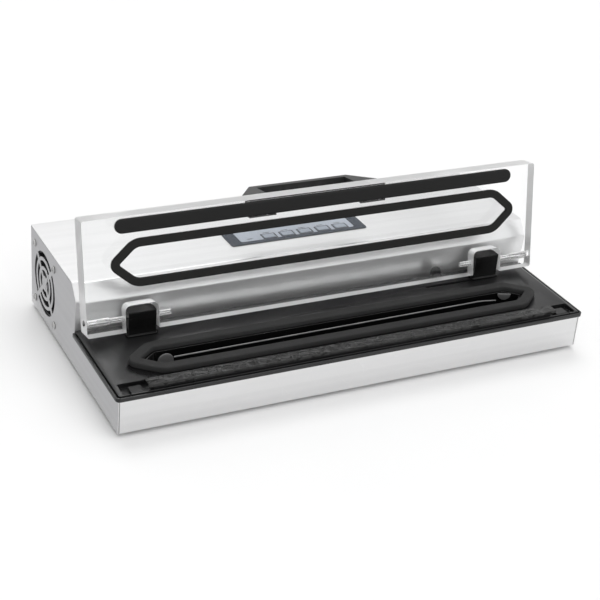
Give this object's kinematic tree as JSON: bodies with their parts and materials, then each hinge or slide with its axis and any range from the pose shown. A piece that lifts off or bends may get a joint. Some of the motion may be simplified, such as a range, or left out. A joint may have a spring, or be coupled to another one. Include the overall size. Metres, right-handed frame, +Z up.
{
  "type": "vacuum sealer",
  "caption": "Benchtop vacuum sealer: low steel case, dark seal deck with a gasket-ringed trough and a hinged clear lid with a grip handle, shown open.",
  "frame": {"origin": "middle of the footprint, at the soles of the feet", "axes": "+X to the operator's right along the seal bar, -Y towards the operator, +Z up"},
  "size_m": [0.4842, 0.2556, 0.1561],
  "materials": {
    "case_steel": "brushed",
    "deck_plastic": "satin",
    "gasket_foam": "matte",
    "pad_rubber": "matte",
    "lid_acrylic": "clear",
    "handle_plastic": "satin",
    "hinge_plastic": "satin",
    "pin_steel": "polished",
    "tray_plastic": "matte",
    "tab_grey": "matte",
    "wire_steel": "polished",
    "tape_ptfe": "woven",
    "band_metal": "satin",
    "panel_slate": "satin",
    "panel_overlay": "satin",
    "button_plastic": "satin",
    "fan_plastic": "satin",
    "screw_steel": "satin",
    "foot_rubber": "matte",
    "board_green": "satin",
    "coil_copper": "satin",
    "core_iron": "matte",
    "motor_metal": "satin",
    "valve_metal": "satin",
    "hose_rubber": "matte",
    "inlet_plastic": "satin",
    "rocker_plastic": "gloss"
  },
  "bodies": {
    "base": {"base_plate": "case_steel", "button_board": "board_green", "chamber_floor": "tray_plastic", "chamber_wall": "tray_plastic", "circuit_board": "board_green", "control_panel_frame": "panel_slate", "deck": "deck_plastic", "fan_frame": "fan_plastic", "fan_screw_1": "screw_steel", "fan_screw_2": "screw_steel", "fan_screw_3": "screw_steel", "fan_screw_4": "screw_steel", "foot_back_left": "foot_rubber", "foot_back_right": "foot_rubber", "foot_front_left": "foot_rubber", "foot_front_right": "foot_rubber", "front_panel": "case_steel", "heating_band": "band_metal", "hinge_pin_left": "pin_steel", "hinge_pin_right": "pin_steel", "hinge_post_left": "hinge_plastic", "hinge_post_right": "hinge_plastic", "lid_switch": "inlet_plastic", "lower_gasket": "gasket_foam", "panel_overlay": "panel_overlay", "power_inlet": "inlet_plastic", "pump_head": "motor_metal", "pump_motor": "motor_metal", "rear_panel": "case_steel", "release_valve": "valve_metal", "rocker_frame": "inlet_plastic", "seal_bar": "inlet_plastic", "seal_tape": "tape_ptfe", "side_panel_left": "case_steel", "side_panel_right": "case_steel", "tape_clamp_left": "inlet_plastic", "tape_clamp_right": "inlet_plastic", "top_cover": "case_steel", "transformer_coil": "coil_copper", "transformer_core": "core_iron", "vacuum_hose": "hose_rubber"},
    "lid": {"lid": "lid_acrylic", "lid_gasket": "gasket_foam", "pressing_pad": "pad_rubber", "lid_handle": "handle_plastic", "handle_screw_left": "screw_steel", "handle_screw_right": "screw_steel", "lid_striker": "handle_plastic"},
    "tray": {"drip_tray": "tray_plastic", "tray_tab_left": "tab_grey", "tray_tab_right": "tab_grey", "bag_stop_wire": "wire_steel"},
    "fan_rotor": {"fan_rotor": "fan_plastic"},
    "pump_crank": {"pump_crank": "motor_metal"},
    "power_rocker": {"power_rocker": "rocker_plastic"},
    "button_seal": {"button_seal": "button_plastic"},
    "button_vacuum_seal": {"button_vacuum_seal": "button_plastic"},
    "button_pulse": {"button_pulse": "button_plastic"},
    "button_seal_time": {"button_seal_time": "button_plastic"},
    "button_cancel": {"button_cancel": "button_plastic"}
  },
  "joints": [
    {"name": "lid_hinge", "type": "hinge", "parent": "base", "child": "lid", "pos_m": [0, -0.02715, 0.0595], "axis": [1, 0, 0], "range_deg": [0, 100.8]},
    {"name": "tray_lift", "type": "slide", "parent": "base", "child": "tray", "axis": [0, 0, -1], "range_m": [-0.03, 0]},
    {"name": "press_seal", "type": "slide", "parent": "base", "child": "button_seal", "axis": [0, 0, -1], "range_m": [0, 0.0006], "stiffness_N_per_m": 900},
    {"name": "press_vacuum_seal", "type": "slide", "parent": "base", "child": "button_vacuum_seal", "axis": [0, 0, -1], "range_m": [0, 0.0006], "stiffness_N_per_m": 900},
    {"name": "press_pulse", "type": "slide", "parent": "base", "child": "button_pulse", "axis": [0, 0, -1], "range_m": [0, 0.0006], "stiffness_N_per_m": 900},
    {"name": "press_seal_time", "type": "slide", "parent": "base", "child": "button_seal_time", "axis": [0, 0, -1], "range_m": [0, 0.0006], "stiffness_N_per_m": 900},
    {"name": "press_cancel", "type": "slide", "parent": "base", "child": "button_cancel", "axis": [0, 0, -1], "range_m": [0, 0.0006], "stiffness_N_per_m": 900},
    {"name": "rocker_tip", "type": "hinge", "parent": "base", "child": "power_rocker", "pos_m": [-0.1248, 0.1191, 0.034], "axis": [1, 0, 0], "range_deg": [-10, 0]},
    {"name": "fan_spin", "type": "hinge", "parent": "base", "child": "fan_rotor", "pos_m": [-0.2285, 0.0831, 0.04505], "axis": [1, 0, 0], "continuous": true},
    {"name": "pump_spin", "type": "hinge", "parent": "base", "child": "pump_crank", "pos_m": [0.1296, 0.0666, 0.038], "axis": [1, 0, 0], "continuous": true}
  ]
}
